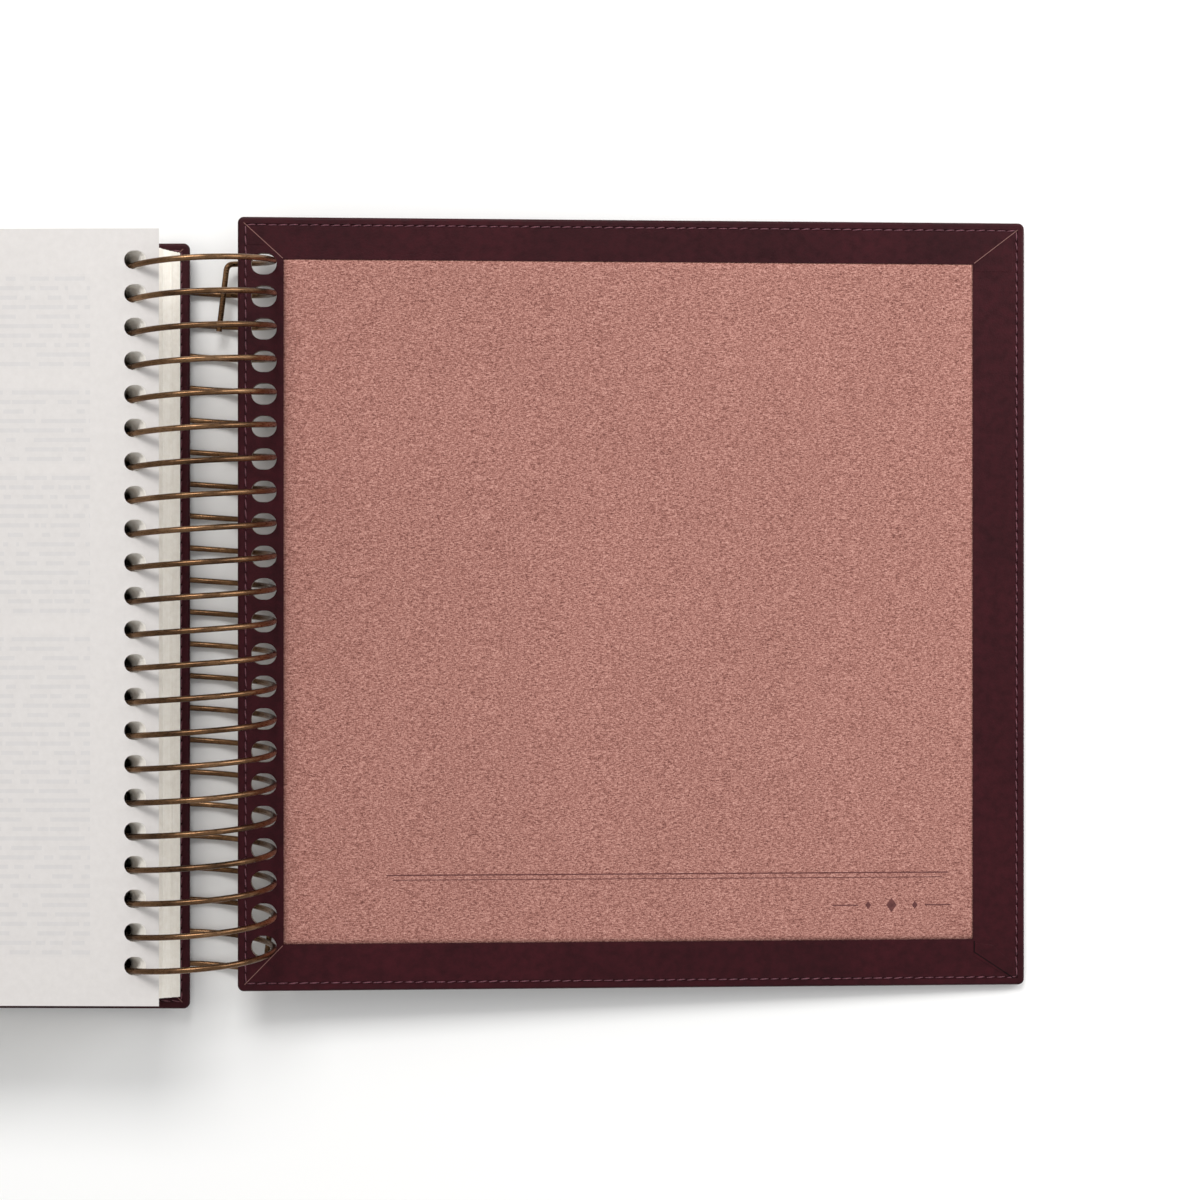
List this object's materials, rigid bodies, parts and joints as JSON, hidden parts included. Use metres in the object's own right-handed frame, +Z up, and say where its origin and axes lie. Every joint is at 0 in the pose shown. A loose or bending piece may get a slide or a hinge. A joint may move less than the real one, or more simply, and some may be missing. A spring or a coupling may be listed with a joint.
{
  "type": "coil-bound prayer book",
  "caption": "Coil-bound prayer book lying open at its back, pages stacked on the left, stitched leather back cover with a suede lining on the right.",
  "frame": {"origin": "centre of the bounding box's bottom, on the surface that the open book lies on", "axes": "+Z up, +Y towards the head of the book along the coil's axis, +X towards the back cover's fore-edge"},
  "size_m": [0.4275, 0.2074, 0.0403],
  "materials": {
    "coil": "plated wire in antique copper, satin",
    "leather": "dark burgundy smooth leather, satin",
    "board": "grey-brown binder's board",
    "lining": "dusty rose suede",
    "thread": "mauve waxed thread",
    "paper": "cream paper",
    "leaf": "thin translucent white paper"
  },
  "bodies": {
    "page_block": {"first_leaf": "leaf", "last_leaf": "leaf", "page_section_01": "paper", "page_section_02": "paper", "page_section_03": "paper", "page_section_04": "paper", "page_section_05": "paper", "page_section_06": "paper", "page_section_07": "paper", "page_section_08": "paper", "page_section_09": "paper", "page_section_10": "paper", "page_section_11": "paper", "page_section_12": "paper"},
    "coil": {"binding_coil": "coil"},
    "back_cover": {"back_cover_leather": "leather", "back_cover_board": "board", "back_cover_lining": "lining", "back_cover_stitching": "thread"},
    "front_cover": {"front_cover_leather": "leather", "front_cover_board": "board", "front_cover_lining": "lining", "front_cover_stitching": "thread"}
  },
  "joints": [
    {"name": "coil_roll", "type": "hinge", "parent": "page_block", "child": "coil", "pos_m": [-0.00211, 0, 0.02015], "axis": [0, -1, 0], "range_deg": [0, 109.2]},
    {"name": "back_cover_close", "type": "hinge", "parent": "coil", "child": "back_cover", "pos_m": [0.00579, 0, 0.02071], "axis": [0, -1, 0], "range_deg": [0, 75]},
    {"name": "front_cover_open", "type": "hinge", "parent": "page_block", "child": "front_cover", "pos_m": [-0.00211, 0, 0.02015], "axis": [0, -1, 0], "range_deg": [0, 12]}
  ],
  "couplings": [
    {"joint": "coil_roll", "follows": "back_cover_close", "ratio": 1.4553}
  ]
}
